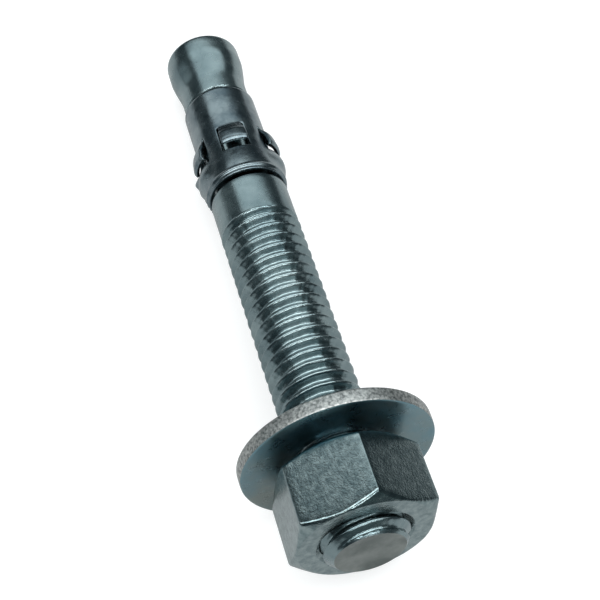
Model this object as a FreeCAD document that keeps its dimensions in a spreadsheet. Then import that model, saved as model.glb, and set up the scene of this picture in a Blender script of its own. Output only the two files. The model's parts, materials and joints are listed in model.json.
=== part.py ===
"""A wedge anchor: a threaded stud with an expansion clip round its neck, a flat washer and a hex nut.

Every piece is modelled about the stud's own axis, local +Z, with the tip's end face at local Z 0
and the threaded end at stud_length. The pieces are then laid down together as the anchor comes to
rest: the washer's rim and the edge of the tip touch the floor, and the threaded end points to +X.
"""

import FreeCAD, Part
import Sketcher
import math
import os
import re

# Driving sizes in millimetres, angles in degrees. One that starts with = follows from others.
SIZES = {
    # stud
    "stud_length": 95.25,
    "tip_radius": 6.15,
    "tip_rounding": 1.1,
    "tip_length": 4.05,
    "cone_length": 4.45,
    "cone_foot_radius": 5.4,
    "cone_foot_length": 3.4,
    "neck_step": 0.5,
    "neck_radius": 4.85,
    "neck_length": 20.0,
    "shoulder_length": 0.5,
    "shank_radius": 6.1,
    "shank_length": 6.3,
    "runout_length": 0.35,
    "thread_radius": 6.2,
    "end_chamfer": 1.25,
    # expansion clip
    "clip_start_gap": 0.35,
    "clip_end_gap": 0.5,
    "clip_length": "=neck_length - clip_start_gap - clip_end_gap",
    "clip_neck_clearance": 0.07,
    "clip_band_radius": 5.85,
    "clip_waist_radius": 5.8,
    "clip_waist_height": 8.4,
    "clip_flare_radius": 7.1,
    "clip_flare_height": 3.4,
    "clip_lip_radius": 6.4,
    "clip_sheet": 0.93,
    "clip_skirt_arc": 20.0,
    "clip_lip_arc": 5.0,
    "clip_edge": 0.2,
    "louvre_count": 5,
    "louvre_window_angle": 44.0,
    "louvre_tab_angle": 37.0,
    "louvre_window_low": 5.6,
    "louvre_window_height": 5.1,
    "louvre_tab_height": 4.15,
    "louvre_lift": 1.2,
    "louvre_sheet": 0.8,
    "louvre_crease": 0.13,
    "louvre_root": 0.25,
    "clip_split": 1.2,
    "clip_split_turn": 108.0,
    "clip_turn": 1.0,
    # flat washer
    "washer_radius": 13.87,
    "washer_hole_radius": 6.75,
    "washer_thickness": 2.1,
    "washer_edge_chamfer": 0.3,
    "washer_burr_chamfer": 0.12,
    "washer_gap": 1.3,
    # hex nut
    "nut_flats": 19.05,
    "nut_height": 11.1,
    "nut_bore_clearance": 0.06,
    "nut_countersink": 0.55,
    "nut_outer_face_radius": 9.3,
    "nut_inner_face_radius": 8.6,
    "nut_chamfer_angle": 30.0,
    "nut_turn": -9.4,
    "stud_protrusion": 2.05,
}

doc = FreeCAD.newDocument("wedge_anchor")
sheet = doc.addObject("Spreadsheet::Sheet", "sizes")
for row, (alias, value) in enumerate(SIZES.items(), start=1):
    sheet.set(f"A{row}", alias)
    sheet.set(f"B{row}", str(value))
    sheet.setAlias(f"B{row}", alias)
doc.recompute()


def cells(text):
    """An expression in which each word that is a size is read from the sheet."""
    return re.sub(r"[a-z_]+", lambda word: f"sizes.{word[0]}" if word[0] in SIZES else word[0], text)


def number(text):
    """The value of such an expression."""
    return float(sheet.evalExpression(cells(text)))


# Places along the stud, from the tip's end face.
CONE_START = "tip_length"
CONE_FOOT = f"({CONE_START} + cone_length)"
CONE_FOOT_END = f"({CONE_FOOT} + cone_foot_length)"
NECK_START = f"({CONE_FOOT_END} + neck_step)"
SHOULDER_START = f"({NECK_START} + neck_length)"
SHANK_START = f"({SHOULDER_START} + shoulder_length)"
RUNOUT_START = f"({SHANK_START} + shank_length)"
THREAD_START = f"({RUNOUT_START} + runout_length)"
CLIP_END = f"({SHOULDER_START} - clip_end_gap)"
CLIP_START = f"({CLIP_END} - clip_length)"
NUT_OUTER = "(stud_length - stud_protrusion)"
NUT_INNER = f"({NUT_OUTER} - nut_height)"
WASHER_NUT_SIDE = f"({NUT_INNER} - washer_gap)"
WASHER_TIP_SIDE = f"({WASHER_NUT_SIDE} - washer_thickness)"
NUT_BORE = "(thread_radius + nut_bore_clearance)"
CLIP_BORE = "(neck_radius + clip_neck_clearance)"


def new_body(label):
    body = doc.addObject("PartDesign::Body", label)
    body.Label = label
    return body


def origin_feature(body, role):
    for feature in body.Origin.OriginFeatures:
        if feature.Role == role:
            return feature
    raise ValueError(f"{body.Label} has no {role}")


def new_sketch(body, name, role, turn=None):
    """An empty sketch on one of the body's own planes, turned about the stud's axis by the size turn."""
    sketch = body.newObject("Sketcher::SketchObject", name)
    sketch.AttachmentSupport = [(origin_feature(body, role), "")]
    sketch.MapMode = "FlatFace"
    if turn:
        upright = FreeCAD.Vector(0, 1, 0) if role == "XZ_Plane" else FreeCAD.Vector(0, 0, 1)
        sketch.AttachmentOffset = FreeCAD.Placement(FreeCAD.Vector(), FreeCAD.Rotation(upright, number(turn)))
        sketch.setExpression("AttachmentOffset.Rotation.Angle", cells(turn))
    return sketch


def arc_between(start, end, radius, side):
    """The shorter arc of that radius from start to end, with its centre to the left (1) or right (-1)."""
    chord = end - start
    middle = (start + end) * 0.5
    left = FreeCAD.Vector(-chord.y, chord.x, 0).normalize()
    rise = math.sqrt(radius**2 - (chord.Length / 2) ** 2)
    centre = middle + left * rise * side
    bulge = centre - left * radius * side
    return Part.Arc(start, bulge, end)


def outline(sketch, points):
    """A closed outline. Each point is (x, y) or (x, y, radius, side), where an arc leads on to the next point."""
    places = [FreeCAD.Vector(number(point[0]), number(point[1]), 0) for point in points]
    for index, point in enumerate(points):
        start = places[index]
        end = places[(index + 1) % len(points)]
        if len(point) == 4:
            edge = arc_between(start, end, number(point[2]), point[3])
        else:
            edge = Part.LineSegment(start, end)
        sketch.addGeometry(edge, False)
    for index, point in enumerate(points):
        # an arc drawn clockwise is stored from its other end
        start_end = ends(sketch, index, places[index])
        before = (index - 1) % len(points)
        before_end = 3 - ends(sketch, before, places[before])
        sketch.addConstraint(Sketcher.Constraint("Coincident", before, before_end, index, start_end))
        for axis, kind in ((0, "DistanceX"), (1, "DistanceY")):
            value = places[index][axis]
            number_of = sketch.addConstraint(Sketcher.Constraint(kind, -1, 1, index, start_end, value))
            sketch.setExpression(f"Constraints[{number_of}]", cells(point[axis]))
        if len(point) == 4:
            number_of = sketch.addConstraint(Sketcher.Constraint("Radius", index, number(point[2])))
            sketch.setExpression(f"Constraints[{number_of}]", cells(point[2]))


def ends(sketch, index, place):
    """Which end of an edge, 1 or 2, lies at place."""
    start = sketch.getPoint(index, 1)
    end = sketch.getPoint(index, 2)
    return 1 if (start - place).Length < (end - place).Length else 2


def turned(body, kind, name, sketch, angle=None):
    """A Revolution or Groove about the stud's axis: a whole turn, or angle centred on the sketch."""
    feature = body.newObject(f"PartDesign::{kind}", name)
    feature.Profile = sketch
    feature.ReferenceAxis = (sketch, ["V_Axis"])
    feature.Angle = 360.0
    if angle:
        feature.Midplane = True
        feature.Angle = number(angle)
        feature.setExpression("Angle", cells(angle))
    sketch.Visibility = False
    doc.recompute()
    return feature


def repeated(body, name, feature, count):
    """Copies of a feature, evenly spaced about the stud's axis."""
    pattern = body.newObject("PartDesign::PolarPattern", name)
    pattern.Originals = [feature]
    pattern.Axis = (origin_feature(body, "Z_Axis"), [""])
    pattern.Angle = 360.0
    pattern.Occurrences = int(number(count))
    pattern.setExpression("Occurrences", cells(count))
    body.Tip = pattern
    doc.recompute()
    return pattern


def made_less(body, before, name):
    """A cut that points away from the solid shows no error, so its volume is compared."""
    after = body.Shape.Volume
    if not after < before:
        raise RuntimeError(f"{name} cuts nothing")
    return after


def made_more(body, before, name):
    after = body.Shape.Volume
    if not after > before:
        raise RuntimeError(f"{name} adds nothing")
    return after


def stud():
    """The stud: rounded tip, wedge cone and its foot, neck for the clip, plain shank and the thread's crests."""
    body = new_body("stud")
    sketch = new_sketch(body, "stud_outline", "XZ_Plane")
    outline(sketch, [
        ("0", "0"),
        ("tip_radius - tip_rounding", "0", "tip_rounding", 1),
        ("tip_radius", "tip_rounding"),
        ("tip_radius", CONE_START),
        ("cone_foot_radius", CONE_FOOT),
        ("cone_foot_radius", CONE_FOOT_END),
        ("neck_radius", NECK_START),
        ("neck_radius", SHOULDER_START),
        ("shank_radius", SHANK_START),
        ("shank_radius", RUNOUT_START),
        ("thread_radius", THREAD_START),
        ("thread_radius", "stud_length - end_chamfer"),
        ("thread_radius - end_chamfer", "stud_length"),
        ("0", "stud_length"),
    ])
    turned(body, "Revolution", "stud_turning", sketch)
    return body


def expansion_clip():
    """The clip: a split sleeve of sheet steel with a flared skirt and a row of louvres lanced outwards."""
    body = new_body("expansion_clip")
    flare_place = f"{CLIP_END} - clip_flare_height"
    waist_place = f"{CLIP_END} - clip_waist_height"
    sketch = new_sketch(body, "clip_section", "XZ_Plane", "clip_split_turn")
    outline(sketch, [
        (CLIP_BORE, CLIP_START),
        ("clip_band_radius - clip_edge", CLIP_START),
        ("clip_band_radius", f"{CLIP_START} + clip_edge"),
        ("clip_waist_radius", waist_place, "clip_skirt_arc", -1),
        ("clip_flare_radius", flare_place, "clip_lip_arc", 1),
        ("clip_lip_radius", CLIP_END),
        ("clip_lip_radius - clip_sheet", CLIP_END, "clip_lip_arc - clip_sheet", -1),
        ("clip_flare_radius - clip_sheet", flare_place, "clip_skirt_arc + clip_sheet", 1),
        (CLIP_BORE, waist_place),
    ])
    turned(body, "Revolution", "clip_sleeve", sketch)
    volume = body.Shape.Volume

    window_end = f"{CLIP_END} - louvre_window_low"
    window_start = f"{window_end} - louvre_window_height"
    sketch = new_sketch(body, "louvre_window_section", "XZ_Plane")
    outline(sketch, [
        (f"{CLIP_BORE} - clip_sheet", window_start),
        ("clip_flare_radius + clip_sheet", window_start),
        ("clip_flare_radius + clip_sheet", window_end),
        (f"{CLIP_BORE} - clip_sheet", window_end),
    ])
    window = turned(body, "Groove", "louvre_window", sketch, "louvre_window_angle")
    repeated(body, "louvre_windows", window, "louvre_count")
    volume = made_less(body, volume, "louvre_windows")

    tab_start = f"{window_start} - louvre_root"
    tab_end = f"{window_start} + louvre_tab_height"
    sketch = new_sketch(body, "louvre_tab_section", "XZ_Plane")
    outline(sketch, [
        ("clip_waist_radius - louvre_crease - louvre_sheet", tab_start),
        ("clip_waist_radius - louvre_crease", tab_start),
        ("clip_waist_radius + louvre_lift", tab_end),
        ("clip_waist_radius + louvre_lift - louvre_sheet", tab_end),
    ])
    tab = turned(body, "Revolution", "louvre_tab", sketch, "louvre_tab_angle")
    repeated(body, "louvre_tabs", tab, "louvre_count")
    volume = made_more(body, volume, "louvre_tabs")

    sketch = new_sketch(body, "split_plan", "XY_Plane", "clip_split_turn")
    outline(sketch, [
        (f"{CLIP_BORE} - clip_sheet", "0 - clip_split / 2"),
        ("clip_flare_radius + clip_sheet", "0 - clip_split / 2"),
        ("clip_flare_radius + clip_sheet", "clip_split / 2"),
        (f"{CLIP_BORE} - clip_sheet", "clip_split / 2"),
    ])
    split = body.newObject("PartDesign::Pocket", "clip_split_cut")
    split.Profile = sketch
    split.Type = "Length"
    split.Length = number("stud_length")
    split.setExpression("Length", cells("stud_length"))
    split.Reversed = True
    sketch.Visibility = False
    doc.recompute()
    made_less(body, volume, "clip_split_cut")
    return body


def flat_washer():
    """The washer: punched from plate, with its broken edge towards the tip and a fine burr towards the nut."""
    body = new_body("flat_washer")
    sketch = new_sketch(body, "washer_section", "XZ_Plane")
    outline(sketch, [
        ("washer_hole_radius", WASHER_TIP_SIDE),
        ("washer_radius - washer_edge_chamfer", WASHER_TIP_SIDE),
        ("washer_radius", f"{WASHER_TIP_SIDE} + washer_edge_chamfer"),
        ("washer_radius", f"{WASHER_NUT_SIDE} - washer_burr_chamfer"),
        ("washer_radius - washer_burr_chamfer", WASHER_NUT_SIDE),
        ("washer_hole_radius + washer_burr_chamfer", WASHER_NUT_SIDE),
        ("washer_hole_radius", f"{WASHER_NUT_SIDE} - washer_burr_chamfer"),
    ])
    turned(body, "Revolution", "washer_ring", sketch)
    return body


def hex_nut():
    """The nut: a hexagon with both ends chamfered, bored over the thread and countersunk."""
    body = new_body("hex_nut")
    sketch = new_sketch(body, "nut_hexagon", "XY_Plane")
    corners = []
    for corner in range(6):
        turn = f"{60 * corner}"
        reach = "nut_flats / 2 / cos(30)"
        corners.append((f"{reach} * cos({turn})", f"{reach} * sin({turn})"))
    outline(sketch, corners)
    prism = body.newObject("PartDesign::Pad", "nut_prism")
    prism.Profile = sketch
    prism.Length = number("nut_height")
    prism.setExpression("Length", cells("nut_height"))
    sketch.AttachmentOffset = FreeCAD.Placement(FreeCAD.Vector(0, 0, number(NUT_INNER)), FreeCAD.Rotation())
    sketch.setExpression("AttachmentOffset.Base.z", cells(NUT_INNER))
    sketch.Visibility = False
    doc.recompute()
    volume = body.Shape.Volume

    sketch = new_sketch(body, "outer_chamfer_section", "XZ_Plane")
    outline(sketch, [
        ("nut_outer_face_radius", NUT_OUTER),
        ("nut_flats", f"{NUT_OUTER} - (nut_flats - nut_outer_face_radius) * tan(nut_chamfer_angle)"),
        ("nut_flats", NUT_OUTER),
    ])
    turned(body, "Groove", "outer_chamfer", sketch)
    volume = made_less(body, volume, "outer_chamfer")

    sketch = new_sketch(body, "inner_chamfer_section", "XZ_Plane")
    outline(sketch, [
        ("nut_inner_face_radius", NUT_INNER),
        ("nut_flats", NUT_INNER),
        ("nut_flats", f"{NUT_INNER} + (nut_flats - nut_inner_face_radius) * tan(nut_chamfer_angle)"),
    ])
    turned(body, "Groove", "inner_chamfer", sketch)
    volume = made_less(body, volume, "inner_chamfer")

    sketch = new_sketch(body, "bore_section", "XZ_Plane")
    outline(sketch, [
        ("0", NUT_INNER),
        (f"{NUT_BORE} + nut_countersink", NUT_INNER),
        (NUT_BORE, f"{NUT_INNER} + nut_countersink"),
        (NUT_BORE, f"{NUT_OUTER} - nut_countersink"),
        (f"{NUT_BORE} + nut_countersink", NUT_OUTER),
        ("0", NUT_OUTER),
    ])
    turned(body, "Groove", "nut_bore", sketch)
    made_less(body, volume, "nut_bore")
    return body


def lying_angle():
    """The slope, in degrees, of the stud's axis when the tip's rounded edge and the washer's rim touch the floor."""
    rise = number("washer_radius - tip_radius + tip_rounding")
    run = number(f"{WASHER_TIP_SIDE} + washer_edge_chamfer - tip_rounding")
    spare = number("tip_rounding")
    return math.degrees(math.atan2(rise, run) - math.asin(spare / math.hypot(rise, run)))


def lie(body, turn=0.0):
    """Lay a piece on the floor, turned about the stud's axis, with the whole anchor centred over the origin."""
    slope = math.radians(lying_angle())
    rounding = number("tip_rounding")
    tip_edge = number("tip_radius") - rounding
    height = tip_edge * math.cos(slope) + rounding - rounding * math.sin(slope)
    tip_reach = rounding * math.cos(slope) - tip_edge * math.sin(slope) - rounding
    end_radius = number("thread_radius - end_chamfer")
    end_reach = number("stud_length") * math.cos(slope) + end_radius * math.sin(slope)
    # local +X starts out pointing up, and a positive turn leans it towards -Y
    about_axis = FreeCAD.Rotation(FreeCAD.Vector(0, 0, 1), 180.0 + turn)
    down = FreeCAD.Rotation(FreeCAD.Vector(0, 1, 0), 90.0 - lying_angle())
    base = FreeCAD.Vector(-(tip_reach + end_reach) / 2, 0, height)
    body.Placement = FreeCAD.Placement(base, down.multiply(about_axis))


bodies = [stud(), expansion_clip(), flat_washer(), hex_nut()]
turns = {"expansion_clip": number("clip_turn"), "hex_nut": number("nut_turn")}
for body in bodies:
    lie(body, turns.get(body.Label, 0.0))
doc.recompute()

for item in doc.Objects:
    if "Invalid" in item.State or "Error" in item.State:
        raise RuntimeError(f"{item.Label} failed: {item.State}")
for body in bodies:
    shape = body.Shape
    if shape.isNull() or not shape.isValid() or len(shape.Solids) != 1:
        raise RuntimeError(f"{body.Label} isn't one valid solid")

os.makedirs("parts", exist_ok=True)
for body in bodies:
    body.Shape.exportStep(f"parts/{body.Label}.step")
    box = body.Shape.BoundBox
    print(body.Label, round(body.Shape.Volume, 1), box)
print("lying angle", round(lying_angle(), 3))
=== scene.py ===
import json
import math

import bpy
import numpy as np
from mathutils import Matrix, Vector


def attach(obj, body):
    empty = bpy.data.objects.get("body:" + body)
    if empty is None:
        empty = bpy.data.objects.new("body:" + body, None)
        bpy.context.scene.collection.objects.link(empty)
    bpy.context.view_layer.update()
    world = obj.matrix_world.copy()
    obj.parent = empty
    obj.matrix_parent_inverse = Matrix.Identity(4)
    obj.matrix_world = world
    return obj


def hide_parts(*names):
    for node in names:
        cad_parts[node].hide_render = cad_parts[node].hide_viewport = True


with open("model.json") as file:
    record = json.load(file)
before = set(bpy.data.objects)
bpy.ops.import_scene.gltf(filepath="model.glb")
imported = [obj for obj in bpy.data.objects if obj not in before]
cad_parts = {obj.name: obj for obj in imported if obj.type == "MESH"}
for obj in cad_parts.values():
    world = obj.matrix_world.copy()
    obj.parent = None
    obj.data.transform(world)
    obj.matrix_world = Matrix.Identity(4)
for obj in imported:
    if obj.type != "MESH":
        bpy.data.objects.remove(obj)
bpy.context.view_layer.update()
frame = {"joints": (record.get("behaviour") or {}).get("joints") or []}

# Places are in millimetres: z along the stud from its tip, r off its axis, b round it from the top.
MM = 0.001
CLIP_START = 12.75
turn = next(j for j in frame["joints"] if j["name"] == "clip_turn")
AXIS = np.array(turn["axis"])
AXIS = AXIS / np.linalg.norm(AXIS)
TIP = np.array(turn["pos_m"]) - AXIS * CLIP_START * MM
SIDE = np.array([0.0, -1.0, 0.0])
UP = np.cross(SIDE, AXIS)


def place(z, r, b):
    """World points, in metres, of places on the anchor."""
    z, r, b = np.broadcast_arrays(np.asarray(z, float), r, b)
    out = z[..., None] * AXIS + r[..., None] * (np.cos(b)[..., None] * UP + np.sin(b)[..., None] * SIDE)
    return TIP + out * MM


def smooth(x, low, high):
    """A soft step from 0 at low to 1 at high."""
    t = np.clip((np.asarray(x, float) - low) / (high - low), 0, 1)
    return t * t * (3 - 2 * t)


def wobble(t, seed, parts=7, low=2.0, high=40.0):
    """A smooth irregular line of height about 1 along t."""
    own = np.random.default_rng(seed)
    out = np.zeros_like(np.asarray(t, float))
    for k in range(parts):
        rate = low * (high / low) ** (k / (parts - 1))
        out = out + np.sin(rate * t + own.uniform(0, 2 * math.pi)) * own.uniform(0.5, 1.0)
    return out / math.sqrt(parts)


class Shape:
    """Points and faces of one piece, made of grids that share their edges."""

    def __init__(self):
        self.points = []
        self.faces = []
        self.slots = []
        self.count = 0

    def add(self, points):
        """Adds an array of points and gives the number of the first."""
        start = self.count
        self.points.append(points.reshape(-1, 3))
        self.count += len(self.points[-1])
        return start

    def quads(self, a, b, c, d, slot):
        """Adds a face for each place in four arrays of point numbers."""
        self.faces.append(np.stack([a, b, c, d], -1).reshape(-1, 4))
        self.slots.append(np.full(len(self.faces[-1]), slot))

    def grid(self, z, r, b, closed=True, slot=0, keep=None):
        """A grid whose rows run along z and whose columns run round the axis, facing outwards."""
        points = place(z, r, b)
        rows, cols = points.shape[:2]
        index = self.add(points) + np.arange(rows * cols).reshape(rows, cols)
        right = np.roll(index, -1, 1) if closed else index[:, 1:]
        left = index if closed else index[:, :-1]
        cells = [left[:-1], right[:-1], right[1:], left[1:]]
        if keep is not None:
            cells = [c[keep] for c in cells]
        self.quads(*cells, slot)
        return index

    def cap(self, z, r, b, centre_z, flip, slot=0):
        """A fan of triangles, kept as quads with one doubled corner, that closes a ring."""
        ring = self.add(place(z, r, b)) + np.arange(len(b))
        centre = self.add(place(np.array([centre_z]), 0.0, np.array([0.0])))
        after = np.roll(ring, -1)
        middle = np.full_like(ring, centre)
        if flip:
            self.quads(middle, after, ring, middle, slot)
        else:
            self.quads(middle, ring, after, middle, slot)

    def build(self, name, materials, merge=0.0015, sharp=32.0):
        """Makes the object. Points in one cell of width merge become one, and faces that collapse go."""
        mesh = bpy.data.meshes.new(name)
        points = np.concatenate(self.points)
        faces = np.concatenate(self.faces)
        slots = np.concatenate(self.slots)
        keys = np.round(points / (merge * MM)).astype(np.int64)
        _, first, back = np.unique(keys, axis=0, return_index=True, return_inverse=True)
        points = points[first]
        faces = back.reshape(-1)[faces]
        polygons, used = [], []
        for face, slot in zip(faces.tolist(), slots.tolist()):
            ring = [v for k, v in enumerate(face) if v != face[k - 1]]
            if len(ring) > 2 and len(set(ring)) == len(ring):
                polygons.append(ring)
                used.append(slot)
        mesh.from_pydata(points.tolist(), [], polygons)
        for m in materials:
            mesh.materials.append(m)
        mesh.polygons.foreach_set("material_index", np.array(used, np.int32))
        mesh.polygons.foreach_set("use_smooth", np.ones(len(polygons), bool))
        mesh.update()
        mesh.set_sharp_from_angle(angle=math.radians(sharp))
        piece = bpy.data.objects.new(name, mesh)
        bpy.context.scene.collection.objects.link(piece)
        return piece


# Materials

# A noise is its scale, detail and roughness, and for scratches also its stretch. Depths are in metres.
TINT_DETAIL, TINT_ROUGHNESS = 5.0, 0.6
TINT_STOPS = (0.36, 0.64)
GLOSS_NOISE = (420.0, 6.0, 0.65)
GLOSS_RANGE = (0.3, 0.7)
GRAIN_NOISE, GRAIN_DEPTH = (5200.0, 2.0, 0.55), 0.00001
LONG_SCRATCHES = (900.0, 5.0, 0.7, (0.12, 2.2, 2.2))
CROSS_SCRATCHES = (700.0, 4.0, 0.7, (2.4, 0.25, 0.25))
SCRATCH_DEPTH, CROSS_SHARE = 0.000012, 0.6
DENT_NOISE, DENT_DEPTH = (330.0, 2.0, 0.5), 0.00012
PEBBLE_NOISE, PEBBLE_DEPTH = (3000.0, 3.0, 0.65), 0.00003


def zinc(name, dark, pale, rough, tint_scale=160.0, grain=0.25, scratches=0.9, pebble=0.0, dents=0.0):
    """Zinc plate: two tints in soft clouds, uneven gloss, fine grain and scratches along and across the piece."""
    m = bpy.data.materials.new(name)
    m.use_nodes = True
    nodes, links = m.node_tree.nodes, m.node_tree.links
    shader = nodes["Principled BSDF"]
    shader.inputs["Metallic"].default_value = 1.0
    where = nodes.new("ShaderNodeTexCoord")
    lie = nodes.new("ShaderNodeMapping")
    lie.inputs["Rotation"].default_value = (0, math.asin(AXIS[2]), 0)
    links.new(where.outputs["Object"], lie.inputs["Vector"])

    def noise(scale, detail, roughness, stretch=None):
        n = nodes.new("ShaderNodeTexNoise")
        n.inputs["Scale"].default_value = scale
        n.inputs["Detail"].default_value = detail
        n.inputs["Roughness"].default_value = roughness
        source = lie.outputs["Vector"]
        if stretch:
            s = nodes.new("ShaderNodeMapping")
            s.inputs["Scale"].default_value = stretch
            links.new(source, s.inputs["Vector"])
            source = s.outputs["Vector"]
        links.new(source, n.inputs["Vector"])
        return n.outputs["Fac"]

    ramp = nodes.new("ShaderNodeValToRGB")
    for stop, position, tint in zip(ramp.color_ramp.elements, TINT_STOPS, (dark, pale)):
        stop.position = position
        stop.color = (*tint, 1)
    links.new(noise(tint_scale, TINT_DETAIL, TINT_ROUGHNESS), ramp.inputs["Fac"])
    links.new(ramp.outputs["Color"], shader.inputs["Base Color"])
    gloss = nodes.new("ShaderNodeMapRange")
    for socket, value in zip(("From Min", "From Max", "To Min", "To Max"), (*GLOSS_RANGE, *rough)):
        gloss.inputs[socket].default_value = value
    links.new(noise(*GLOSS_NOISE), gloss.inputs["Value"])
    links.new(gloss.outputs["Result"], shader.inputs["Roughness"])

    normal = None
    layers = [
        (noise(*GRAIN_NOISE), grain, GRAIN_DEPTH),
        (noise(*LONG_SCRATCHES), scratches, SCRATCH_DEPTH),
        (noise(*CROSS_SCRATCHES), scratches * CROSS_SHARE, SCRATCH_DEPTH),
    ]
    if dents:
        layers.append((noise(*DENT_NOISE), dents, DENT_DEPTH))
    if pebble:
        layers.append((noise(*PEBBLE_NOISE), pebble, PEBBLE_DEPTH))
    for height, strength, distance in layers:
        bump = nodes.new("ShaderNodeBump")
        bump.inputs["Strength"].default_value = strength
        bump.inputs["Distance"].default_value = distance
        links.new(height, bump.inputs["Height"])
        if normal:
            links.new(normal, bump.inputs["Normal"])
        normal = bump.outputs["Normal"]
    links.new(normal, shader.inputs["Normal"])
    return m


stud_zinc = zinc("stud_zinc", (0.155, 0.21, 0.225), (0.265, 0.33, 0.34), (0.2, 0.3), dents=0.12)
end_zinc = zinc("stud_end_zinc", (0.12, 0.14, 0.135), (0.24, 0.26, 0.25), (0.34, 0.48),
                grain=0.6, scratches=0.35, pebble=0.5, dents=0.3)
clip_zinc = zinc("clip_zinc", (0.10, 0.135, 0.155), (0.24, 0.285, 0.30), (0.18, 0.3),
                 tint_scale=260.0, grain=0.4, dents=0.5)
# Painted reflection in part: the washer's dark tint is a saturated blue that stands in for the nut's dark blue
# reflection on its face. The clouds that mix it with the pale tint are the zinc's own uneven tone.
washer_zinc = zinc("washer_zinc", (0.13, 0.26, 0.32), (0.23, 0.27, 0.26), (0.24, 0.38),
                   tint_scale=75.0, scratches=0.7, dents=0.2)
rim_zinc = zinc("washer_rim_zinc", (0.15, 0.16, 0.16), (0.52, 0.53, 0.515), (0.36, 0.55),
                tint_scale=2400.0, grain=1.0, scratches=0.35, pebble=0.6)
nut_zinc = zinc("nut_zinc", (0.145, 0.195, 0.205), (0.26, 0.32, 0.325), (0.12, 0.22),
                tint_scale=1100.0, grain=0.4, scratches=0.8, pebble=1.0, dents=0.1)

# Stud

TIP_RADIUS = 6.15
TIP_ROUNDING = 1.1
TIP_END = 4.05
CONE_FOOT = 8.5
CONE_FOOT_END = 11.9
CONE_FOOT_RADIUS = 5.4
NECK_START = 12.4
NECK_RADIUS = 4.85
NECK_END = 32.2
SHOULDER_END = 32.6
SHANK_RADIUS = 6.1
SHANK_END = 39.2
THREAD_RADIUS = 6.2
THREAD_DEPTH = 0.98
PITCH = 25.4 / 13
THREAD_RUN_IN = 1.1
CREST_UNEVEN, CREST_SINK = 0.024, 0.036
FLANK_UNEVEN = 0.016
THREAD_END = 94.0
STUD_LENGTH = 95.25
END_RADIUS = 4.95

# The groove's depth at places along half a pitch from the crest, and the places of the grid's rows there.
CUT_PLACES = (0, 0.03, 0.06, 0.09, 0.12, 0.15, 0.355, 0.395, 0.45, 0.5)
CUT_DEPTHS = (0, 0.012, 0.042, 0.088, 0.15, 0.225, 0.93, 1.0, 1.04, 1.05)
HALF_ROWS = [0, 0.03, 0.06, 0.09, 0.12, 0.15, 0.22, 0.29, 0.355, 0.395, 0.45]
ROWS = np.array(HALF_ROWS + [0.5] + [1 - p for p in HALF_ROWS[:0:-1]])

COLUMNS = 120
around = np.arange(COLUMNS) * 2 * math.pi / COLUMNS


def rings(shape, profile, slot=0):
    """A grid round the stud through a list of heights and radii."""
    z = np.array([p[0] for p in profile])[:, None]
    r = np.array([p[1] for p in profile])[:, None]
    return shape.grid(z, r, around[None, :], slot=slot)


def thread_cut(phase):
    """The groove's share of its full depth, for a place along one pitch, -0.5 to 0.5 from the crest."""
    return np.interp(np.abs(phase), CUT_PLACES, CUT_DEPTHS) / CUT_DEPTHS[-1]


def helical_grid(shape, low, high, columns, radius, inwards=False):
    """A grid whose rows follow the thread, held between two heights. Its seam joins rows one pitch apart."""
    count = len(ROWS)
    first = math.floor(low / PITCH - 1) - 1
    last = math.ceil(high / PITCH) + 1
    phase = np.concatenate([ROWS + k for k in range(first, last + 1)])[:, None]
    z = PITCH * (phase + columns[None, :] / (2 * math.pi))
    r = radius(z, phase, columns[None, :])
    points = place(np.clip(z, low, high), r, columns[None, :])
    index = shape.add(points) + np.arange(z.size).reshape(z.shape)
    seam = np.roll(index[:, :1], -count, 0)
    wide = np.concatenate([index, seam], 1)[: len(index) - count]
    a, b, c, d = wide[:-1, :-1], wide[:-1, 1:], wide[1:, 1:], wide[1:, :-1]
    if inwards:
        a, b, c, d = d, c, b, a
    shape.quads(a, b, c, d, 0)


def stud_radius(z, phase, b):
    """The stud's outside over its thread: rolled crests, a run-in at one end and a chamfer at the other."""
    own = phase - np.round(phase)
    along = 2 * math.pi * np.round(phase) + b
    depth = THREAD_DEPTH * smooth(z, SHANK_END - 0.1, SHANK_END + THREAD_RUN_IN)
    crest = SHANK_RADIUS + (THREAD_RADIUS - SHANK_RADIUS) * smooth(z, SHANK_END, SHANK_END + 0.35)
    uneven = CREST_UNEVEN * wobble(along, 3, 9, 1.5, 38) - CREST_SINK
    cut = thread_cut(own + FLANK_UNEVEN * wobble(along, 5, 7, 3, 34))
    r = crest + uneven * smooth(z, SHANK_END, SHANK_END + 1) - depth * cut
    r = np.minimum(r, THREAD_RADIUS - np.clip(z - THREAD_END, 0, 2))
    r = np.where(z >= STUD_LENGTH - 1e-9, END_RADIUS, r)
    return np.where(z <= SHANK_END + 1e-9, SHANK_RADIUS, r)


# The tip's face is slightly hollow. Its rounding, the wedge cone, the neck and the plain shank follow.
TIP_FACE = [(0.06, 3.2), (0.02, 4.4)]
rounding = [(TIP_ROUNDING * (1 - math.cos(t)), TIP_RADIUS - TIP_ROUNDING * (1 - math.sin(t)))
            for t in np.linspace(0, math.pi / 2, 9)]
tip = [(2.0, TIP_RADIUS), (3.2, TIP_RADIUS), (TIP_END - 0.25, TIP_RADIUS - 0.005),
       (TIP_END + 0.2, TIP_RADIUS - 0.06)]
slope = (TIP_RADIUS - CONE_FOOT_RADIUS) / (CONE_FOOT - TIP_END)
cone = [(z, TIP_RADIUS - slope * (z - TIP_END)) for z in np.linspace(TIP_END + 0.6, CONE_FOOT - 0.5, 6)]
foot = [(CONE_FOOT, CONE_FOOT_RADIUS + 0.03), (CONE_FOOT + 0.6, CONE_FOOT_RADIUS), (10.4, CONE_FOOT_RADIUS),
        (CONE_FOOT_END, CONE_FOOT_RADIUS), (NECK_START, NECK_RADIUS)]
neck = [(z, NECK_RADIUS) for z in np.linspace(NECK_START + 0.5, NECK_END - 0.2, 12)]
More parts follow.
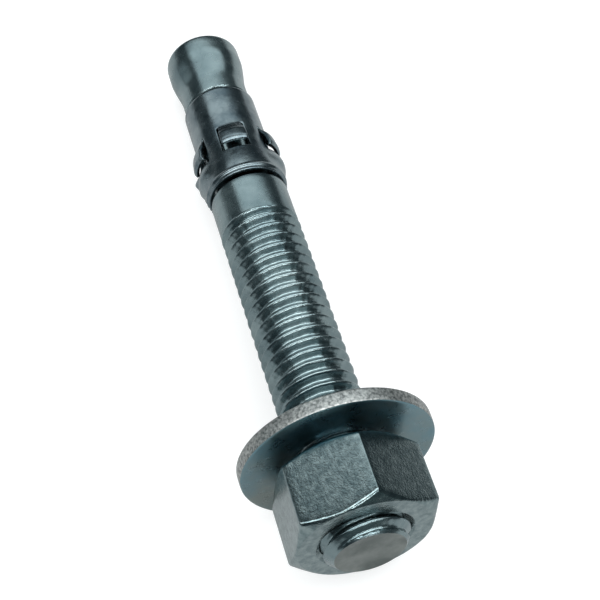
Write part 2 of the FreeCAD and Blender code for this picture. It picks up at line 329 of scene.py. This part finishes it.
shoulder = [(NECK_END, NECK_RADIUS + 0.05), (NECK_END + 0.15, NECK_RADIUS + 0.3),
            (SHOULDER_END - 0.12, SHANK_RADIUS - 0.18), (SHOULDER_END, SHANK_RADIUS - 0.05),
            (SHOULDER_END + 0.2, SHANK_RADIUS)]
shank = [(z, SHANK_RADIUS) for z in np.linspace(SHOULDER_END + 0.8, SHANK_END, 7)]

stud = Shape()
stud.cap(*TIP_FACE[0], around, 0.09, True)
rings(stud, TIP_FACE + rounding + tip + cone + foot + neck + shoulder + shank)
helical_grid(stud, SHANK_END, STUD_LENGTH, around, stud_radius)
rings(stud, [(STUD_LENGTH, END_RADIUS), (STUD_LENGTH, END_RADIUS - 0.12), (STUD_LENGTH - 0.05, END_RADIUS - 0.45),
             (STUD_LENGTH - 0.10, 3.6), (STUD_LENGTH - 0.12, 2.0)], slot=1)
stud.cap(STUD_LENGTH - 0.12, 2.0, around, STUD_LENGTH - 0.13, False, slot=1)
stud_piece = stud.build("stud_look", [stud_zinc, end_zinc])
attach(stud_piece, "stud_body")
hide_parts("stud")

# Nut

NUT_START = 82.1
NUT_END = 93.2
NUT_FLATS = 19.05
NUT_TURN = math.radians(-9.4)
NUT_OUTER_FACE = 9.3
NUT_INNER_FACE = 8.6
NUT_SLOPE = math.tan(math.radians(30))
NUT_CORNER = 0.3
NUT_EDGE = 0.42
EDGE_SHARE = 0.85
EDGE_STEPS = np.linspace(0, 1, 6)
NUT_MOUTH = 6.81
BORE_ROOM = 0.09
BORE_THREAD_DEPTH = THREAD_DEPTH - 0.12


def hexagon():
    """Radius and angle of the points of a hexagon with rounded corners, from one corner round."""
    inner = NUT_FLATS / 2
    points = []
    for k in range(6):
        face = math.radians(30 + 60 * k)
        half = (inner - NUT_CORNER) * math.tan(math.radians(30))
        for s in np.linspace(-half, half, 13):
            points.append((inner * math.cos(face) - s * math.sin(face),
                           inner * math.sin(face) + s * math.cos(face)))
        centre = (inner - NUT_CORNER) / math.cos(math.radians(30))
        corner = face + math.radians(30)
        for t in (-18, -6, 6, 18):
            a = corner + math.radians(t)
            points.append((centre * math.cos(corner) + NUT_CORNER * math.cos(a),
                           centre * math.sin(corner) + NUT_CORNER * math.sin(a)))
    p = np.array(points)
    return np.hypot(p[:, 0], p[:, 1]), np.arctan2(p[:, 1], p[:, 0]) + NUT_TURN


hex_r, hex_b = hexagon()
top_edge = NUT_END - (hex_r - NUT_OUTER_FACE) * NUT_SLOPE
low_edge = NUT_START + (hex_r - NUT_INNER_FACE) * NUT_SLOPE
low_reach = np.minimum(NUT_EDGE, EDGE_SHARE * (hex_r - NUT_INNER_FACE))
top_reach = np.minimum(NUT_EDGE, EDGE_SHARE * (hex_r - NUT_OUTER_FACE))
rows_z, rows_r = [], []


def nut_row(z, r):
    """Adds a ring of the nut, with numbers or with one value per point of the hexagon."""
    rows_z.append(z + np.zeros_like(hex_r))
    rows_r.append(r + np.zeros_like(hex_r))


# From the bore over the washer's side: flat face, chamfer, rounded edge, flats, rounded edge, chamfer, flat face.
for r in (NUT_MOUTH, 7.6, 8.2, NUT_INNER_FACE):
    nut_row(NUT_START, r)
for t in (0.4, 1.0):
    r = NUT_INNER_FACE + (hex_r - low_reach - NUT_INNER_FACE) * t
    nut_row(NUT_START + (r - NUT_INNER_FACE) * NUT_SLOPE, r)
for t in EDGE_STEPS[1:]:
    nut_row(low_edge - low_reach * NUT_SLOPE * (1 - t) ** 2 + low_reach * t**2, hex_r - low_reach * (1 - t) ** 2)
for t in np.linspace(0, 1, 14)[1:]:
    nut_row(low_edge + low_reach + (top_edge - top_reach - low_edge - low_reach) * t, hex_r)
for t in EDGE_STEPS[1:]:
    nut_row(top_edge - top_reach * (1 - t) ** 2 + top_reach * NUT_SLOPE * t**2, hex_r - top_reach * t**2)
for t in (0.4, 0.0):
    r = NUT_OUTER_FACE + (hex_r - top_reach - NUT_OUTER_FACE) * t
    nut_row(NUT_END - (r - NUT_OUTER_FACE) * NUT_SLOPE, r)
for r in (8.6, 7.8, NUT_MOUTH):
    nut_row(NUT_END, r)
nut = Shape()
nut.grid(np.array(rows_z), np.array(rows_r), hex_b[None, :])


def bore_radius(z, phase, b):
    """The nut's own thread, which follows the stud's with a little room, and opens at both ends."""
    own = phase - np.round(phase)
    r = THREAD_RADIUS + BORE_ROOM - BORE_THREAD_DEPTH * thread_cut(own)
    r = np.maximum(r, NUT_MOUTH - np.clip(z - NUT_START, 0, 3))
    return np.maximum(r, NUT_MOUTH - np.clip(NUT_END - z, 0, 3))


bore_b = np.sort(np.mod(hex_b, 2 * math.pi))
helical_grid(nut, NUT_START, NUT_END, bore_b, bore_radius, inwards=True)
nut_piece = nut.build("hex_nut_look", [nut_zinc], sharp=28)
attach(nut_piece, "nut_body")
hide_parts("hex_nut")

# Washer

WASHER_START = 78.7
WASHER_END = 80.8
WASHER_RADIUS = 13.87
WASHER_HOLE = 6.75
ROLLED_EDGE = 0.35
RIM_SINK = 0.01
WASHER_COLUMNS = 240
washer_b = np.arange(WASHER_COLUMNS) * 2 * math.pi / WASHER_COLUMNS

# Heights and radii once round the washer's section, with 1 on its sheared rim. Its nut side is a little dished.
profile = [(WASHER_START + 0.12, WASHER_HOLE, 0), (WASHER_START, WASHER_HOLE + 0.12, 0), (WASHER_START, 8.5, 0),
           (WASHER_START, 11.0, 0), (WASHER_START + 0.01, WASHER_RADIUS - 0.9, 0)]
for t in np.linspace(0, math.pi / 2, 7):
    profile.append((WASHER_START + ROLLED_EDGE * (1 - math.cos(t)),
                    WASHER_RADIUS - ROLLED_EDGE * (1 - math.sin(t)) - RIM_SINK, 1))
for t in (0.3, 0.5, 0.68, 0.8, 0.92):
    profile.append((WASHER_START + ROLLED_EDGE + (WASHER_END - WASHER_START - ROLLED_EDGE) * t,
                    WASHER_RADIUS - RIM_SINK - 0.05 * smooth(t, 0.5, 1), 1))
profile.append((WASHER_END - 0.04, WASHER_RADIUS - 0.10, 1))
NUT_SIDE = [(0, WASHER_RADIUS - 0.2), (0.005, WASHER_RADIUS - 0.5), (0.01, 12.3), (0.03, 12.0), (0.05, 11.7),
            (0.06, 11.4), (0.08, 10.5), (0.10, 8.6), (0.13, WASHER_HOLE + 0.25), (0.25, WASHER_HOLE + 0.05),
            (0.7, WASHER_HOLE)]
profile += [(WASHER_END - drop, r, 0) for drop, r in NUT_SIDE]
profile.append(profile[0])

washer = Shape()
for a, b in zip(profile[:-1], profile[1:]):
    slot = 1 if a[2] and b[2] else 0
    washer.grid(np.array([[a[0]], [b[0]]]), np.array([[a[1]], [b[1]]]), washer_b[None, :], slot=slot)
washer_piece = washer.build("flat_washer_look", [washer_zinc, rim_zinc], sharp=40)
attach(washer_piece, "washer_body")
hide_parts("flat_washer")

# Expansion clip

CLIP_TURN = 1.0
CLIP_END = 31.9
CLIP_SHEET = 0.6
SHEARED_EDGE, SHEARED_ANGLE = 0.15, 50.0
WINDOW_START = 21.2
WINDOW_END = 26.3
TAB_END = 25.6
TAB_LIFT = 1.4
TAB_STEEP, TAB_EVEN = 0.62, 0.38
TAB_ROLL = 0.34
TAB_SAG = 0.10
LOUVRES = 5
WINDOW_ANGLE = 44.0
TAB_ANGLE = 37.0
SPLIT_ANGLE = 108.0 + CLIP_TURN
SPLIT_WIDTH, SPLIT_RADIUS = 1.2, 6.0
EAR_PLACE, EAR_REACH, EAR_LIFT, EAR_ARC, EAR_FLAT = 25.6, 1.3, 1.3, 17.0, 3.0

# The clip's radii along the stud at its sides, and over its top, where the skirt flares less.
CLIP_PLACES = (12.75, 20.0, 23.3, 25.6, 27.9, 28.6, 29.5, 30.6, 31.9)
CLIP_RADII = (5.85, 5.85, 5.76, 6.3, 7.12, 7.05, 6.6, 6.4, 6.32)
UPPER_RADII = (5.85, 5.85, 5.78, 5.98, 6.3, 6.38, 6.48, 6.56, 6.56)
UPPER_FROM, UPPER_TO = 40.0, 74.0
SOFTENING = 0.6
BAND_EDGE, BAND_EDGE_DROP = 0.35, 0.12
RIM_START = 30.3
RIM_BEAD, BEAD_PLACE, BEAD_WIDTH = 0.2, 30.95, 0.2
GROOVE_SHARE, GROOVE_PLACE, GROOVE_WIDTH = 0.6, 31.35, 0.16
COLUMN_STEP, FINE_STEP, FINE_REACH = 3.0, 2.4, 60.0


def bump_at(z, middle, width):
    """A smooth rise of height 1 round a place along the stud."""
    return np.exp(-(((z - middle) / width) ** 2))


def clip_radius(z, b):
    """The clip's outside: an even band, a slight waist, a skirt that flares most at the sides, and its lip."""
    z = np.asarray(z, float)
    steps = np.linspace(-SOFTENING, SOFTENING, 11)
    flared = sum(np.interp(z + d, CLIP_PLACES, CLIP_RADII) for d in steps) / len(steps)
    slim = sum(np.interp(z + d, CLIP_PLACES, UPPER_RADII) for d in steps) / len(steps)
    aside = np.abs(np.mod(np.degrees(b) - CLIP_TURN + 180, 360) - 180)
    r = slim + (flared - slim) * smooth(aside, UPPER_FROM, UPPER_TO)
    r = r - BAND_EDGE_DROP * np.clip(1 - (z - CLIP_START) / BAND_EDGE, 0, 1) ** 2
    groove = GROOVE_SHARE * bump_at(z, GROOVE_PLACE, GROOVE_WIDTH)
    r = r + RIM_BEAD * (bump_at(z, BEAD_PLACE, BEAD_WIDTH) - groove)
    before_split = np.mod(SPLIT_ANGLE - np.degrees(b), 360)
    return r + EAR_LIFT * smooth(before_split, EAR_ARC, EAR_FLAT) * bump_at(z, EAR_PLACE, EAR_REACH)


# The grid's columns start and end at the split and keep to the sides of every window and louvre.
centres = [CLIP_TURN + 360 / LOUVRES * k for k in range(LOUVRES)]
half_split = math.degrees(SPLIT_WIDTH / 2 / SPLIT_RADIUS)
edges = {SPLIT_ANGLE + half_split, SPLIT_ANGLE + 360 - half_split}
for c in centres:
    c = SPLIT_ANGLE + (c - SPLIT_ANGLE) % 360
    for off in (-WINDOW_ANGLE / 2, -TAB_ANGLE / 2, TAB_ANGLE / 2, WINDOW_ANGLE / 2):
        edges.add(c + off)
edges = sorted(edges)
clip_b = []
for a, b in zip(edges[:-1], edges[1:]):
    step = FINE_STEP if abs((a + b) / 2 - 360 - CLIP_TURN) < FINE_REACH else COLUMN_STEP
    count = max(2, math.ceil((b - a) / step))
    clip_b += list(np.linspace(a, b, count, endpoint=False))
clip_b = np.radians(np.array(clip_b + [edges[-1]]))
BAND_START = CLIP_START + 0.6
clip_z = np.concatenate([
    np.linspace(CLIP_START, BAND_START, 4)[:-1],
    np.arange(BAND_START, WINDOW_START - 0.1, 0.25),
    np.linspace(WINDOW_START, TAB_END, 17)[:-1],
    np.linspace(TAB_END, WINDOW_END, 3)[:-1],
    np.linspace(WINDOW_END, RIM_START, 16)[:-1],
    np.linspace(RIM_START, CLIP_END, 9),
])


def window_cells():
    """Which cells of the clip's grid stay: all but those in a window."""
    mid_z = (clip_z[:-1] + clip_z[1:]) / 2
    mid_b = np.degrees((clip_b[:-1] + clip_b[1:]) / 2)
    inside = np.zeros(len(mid_b), bool)
    for c in centres:
        inside |= np.abs(np.mod(mid_b - c + 180, 360) - 180) < WINDOW_ANGLE / 2
    rows = (mid_z > WINDOW_START) & (mid_z < WINDOW_END)
    return ~(rows[:, None] & inside[None, :])


clip = Shape()
sleeve_r = clip_radius(clip_z[:, None], clip_b[None, :])
clip.grid(clip_z[:, None], sleeve_r, clip_b[None, :], closed=False, keep=window_cells())

# Each louvre rises from the window's edge, steeply at first, and its free end rolls back a little.
tab_z = clip_z[(clip_z >= WINDOW_START - 1e-9) & (clip_z <= TAB_END + 1e-9)]
t = (tab_z - WINDOW_START) / (TAB_END - WINDOW_START)
lift = TAB_LIFT * (smooth(t, 0, 0.5) * TAB_STEEP + TAB_EVEN * t) - TAB_ROLL * smooth(t, 0.84, 1.0)
for c in centres:
    off = np.mod(np.degrees(clip_b) - c + 180, 360) - 180
    cols = clip_b[np.abs(off) <= TAB_ANGLE / 2 + 1e-6]
    sag = 1 - TAB_SAG * (np.abs(np.degrees(cols) - np.degrees(cols).mean()) / (TAB_ANGLE / 2)) ** 4
    root = clip_radius(WINDOW_START, cols)
    clip.grid(tab_z[:, None], root[None, :] + lift[:, None] * sag, cols[None, :], closed=False)
clip_piece = clip.build("expansion_clip_look", [clip_zinc], sharp=35)
sheet = clip_piece.modifiers.new("sheet", "SOLIDIFY")
sheet.thickness = CLIP_SHEET * MM
sheet.offset = -1
bevel = clip_piece.modifiers.new("sheared_edges", "BEVEL")
bevel.width = SHEARED_EDGE * MM
bevel.segments = 3
bevel.limit_method = "ANGLE"
bevel.angle_limit = math.radians(SHEARED_ANGLE)
bevel.use_clamp_overlap = False
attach(clip_piece, "clip_body")
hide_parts("expansion_clip")

# Floor, light and camera


def studio_world(colour):
    """A dim room, white where the camera looks straight at it."""
    world = bpy.data.worlds.new("studio")
    world.use_nodes = True
    nodes, links = world.node_tree.nodes, world.node_tree.links
    rays = nodes.new("ShaderNodeLightPath")
    tone = nodes.new("ShaderNodeMix")
    tone.data_type = "RGBA"
    tone.inputs["A"].default_value = (*colour, 1)
    tone.inputs["B"].default_value = (1, 1, 1, 1)
    links.new(rays.outputs["Is Camera Ray"], tone.inputs["Factor"])
    links.new(tone.outputs["Result"], nodes["Background"].inputs["Color"])
    nodes["Background"].inputs["Strength"].default_value = 1.0
    bpy.context.scene.world = world


# The paper's colour fades from PAPER to a dark far colour past PAPER_RADIUS. This is painted shade for light
# falling off away from the anchor, and the metal shows it in its reflections. Its lifts are what it sends out by
# itself.
FLOOR_RADIUS = 1.0
FLOOR_CORNERS = 48
PAPER = (0.45, 0.45, 0.45)
PAPER_FAR_PAINTED_SHADE = (0.05, 0.06, 0.065)
PAPER_RADIUS = 0.11
PAPER_FADE = 0.14
PAPER_LIFT = 0.66
MIRRORED_LIFT = 0.12


def floor():
    mesh = bpy.data.meshes.new("floor")
    angles = [2 * math.pi * k / FLOOR_CORNERS for k in range(FLOOR_CORNERS)]
    points = [(FLOOR_RADIUS * math.cos(a), FLOOR_RADIUS * math.sin(a), 0.0) for a in angles]
    mesh.from_pydata(points, [], [list(range(FLOOR_CORNERS))])
    obj = bpy.data.objects.new("floor", mesh)
    bpy.context.scene.collection.objects.link(obj)
    m = bpy.data.materials.new("floor_paper")
    m.use_nodes = True
    nodes, links = m.node_tree.nodes, m.node_tree.links
    shader = nodes["Principled BSDF"]
    shader.inputs["Roughness"].default_value = 0.9
    shader.inputs["Specular IOR Level"].default_value = 0.0
    where = nodes.new("ShaderNodeTexCoord")
    far = nodes.new("ShaderNodeVectorMath")
    far.operation = "LENGTH"
    links.new(where.outputs["Object"], far.inputs[0])
    away = nodes.new("ShaderNodeMapRange")
    away.interpolation_type = "SMOOTHSTEP"
    away.inputs["From Min"].default_value = PAPER_RADIUS
    away.inputs["From Max"].default_value = PAPER_RADIUS + PAPER_FADE
    links.new(far.outputs["Value"], away.inputs["Value"])
    # Painted shade: the paper's colour darkens past PAPER_RADIUS as if its light fell off.
    tone = nodes.new("ShaderNodeMix")
    tone.data_type = "RGBA"
    tone.inputs["A"].default_value = (*PAPER, 1)
    tone.inputs["B"].default_value = (*PAPER_FAR_PAINTED_SHADE, 1)
    links.new(away.outputs["Result"], tone.inputs["Factor"])
    links.new(tone.outputs["Result"], shader.inputs["Base Color"])

    # The paper is white where it is seen, directly or in the metal near it, and its shadow stays.
    rays = nodes.new("ShaderNodeLightPath")

    def figure(operation, first, second):
        n = nodes.new("ShaderNodeMath")
        n.operation = operation
        for socket, value in zip(n.inputs, (first, second)):
            if isinstance(value, float):
                socket.default_value = value
            else:
                links.new(value, socket)
        return n.outputs["Value"]

    mirrored = figure("MAXIMUM", rays.outputs["Is Glossy Ray"], rays.outputs["Is Transmission Ray"])
    near = figure("SUBTRACT", 1.0, away.outputs["Result"])
    in_metal = figure("MULTIPLY", figure("MULTIPLY", mirrored, near), MIRRORED_LIFT)
    direct = figure("ADD", figure("MULTIPLY", away.outputs["Result"], 1.0 - PAPER_LIFT), PAPER_LIFT)
    total = figure("ADD", figure("MULTIPLY", rays.outputs["Is Camera Ray"], direct), in_metal)
    shader.inputs["Emission Color"].default_value = (1.0, 1.0, 1.0, 1.0)
    links.new(total, shader.inputs["Emission Strength"])
    mesh.materials.append(m)


LIGHT_DISTANCE = 0.9
LIGHT_AIM = (0, 0, 0.01)


def softbox(name, direction, size, radiance, colour):
    """A panel that faces the anchor. Its power gives the stated brightness over its whole face."""
    light = bpy.data.lights.new(name, "AREA")
    light.shape = "RECTANGLE"
    light.size, light.size_y = size
    light.color = colour
    light.energy = radiance * math.pi * size[0] * size[1]
    obj = bpy.data.objects.new(name, light)
    d = Vector(direction).normalized()
    obj.location = Vector(LIGHT_AIM) + d * LIGHT_DISTANCE
    obj.rotation_euler = (-d).to_track_quat("-Z", "Y").to_euler()
    obj.visible_camera = False
    bpy.context.scene.collection.objects.link(obj)


studio_world((0.055, 0.075, 0.082))
floor()
softbox("back_panel", (-0.64, 0.14, 0.745), (1.42, 0.56), 1.3, (0.9, 0.98, 1.0))
softbox("left_fill", (-0.35, -0.9, 0.25), (0.5, 0.5), 0.5, (0.90, 0.98, 1.0))
softbox("top_panel", (0.1, 0.0, 0.99), (2.0, 0.5), 4.2, (0.97, 1.0, 1.0))
softbox("front_panel", (0.76, 0.05, 0.62), (0.9, 0.1), 11.0, (0.97, 1.0, 1.0))
softbox("front_fill", (0.97, 0.1, 0.2), (1.0, 0.3), 0.1, (0.7, 1.0, 1.0))

CAMERA_PLACE = (0.10306349, -0.02533146, 0.18067781)
CAMERA_LOOK = (-0.49278716, 0.13996896, -0.85881867)
SENSOR_WIDTH, LENS = 36.0, 80.15

camera_data = bpy.data.cameras.new("camera")
camera_data.sensor_width = SENSOR_WIDTH
camera_data.lens = LENS
camera_data.clip_start = 0.01
camera = bpy.data.objects.new("camera", camera_data)
camera.location = CAMERA_PLACE
camera.rotation_euler = Vector(CAMERA_LOOK).to_track_quat("-Z", "Y").to_euler()
bpy.context.scene.collection.objects.link(camera)
bpy.context.scene.camera = camera
bpy.context.scene.view_settings.view_transform = "Standard"
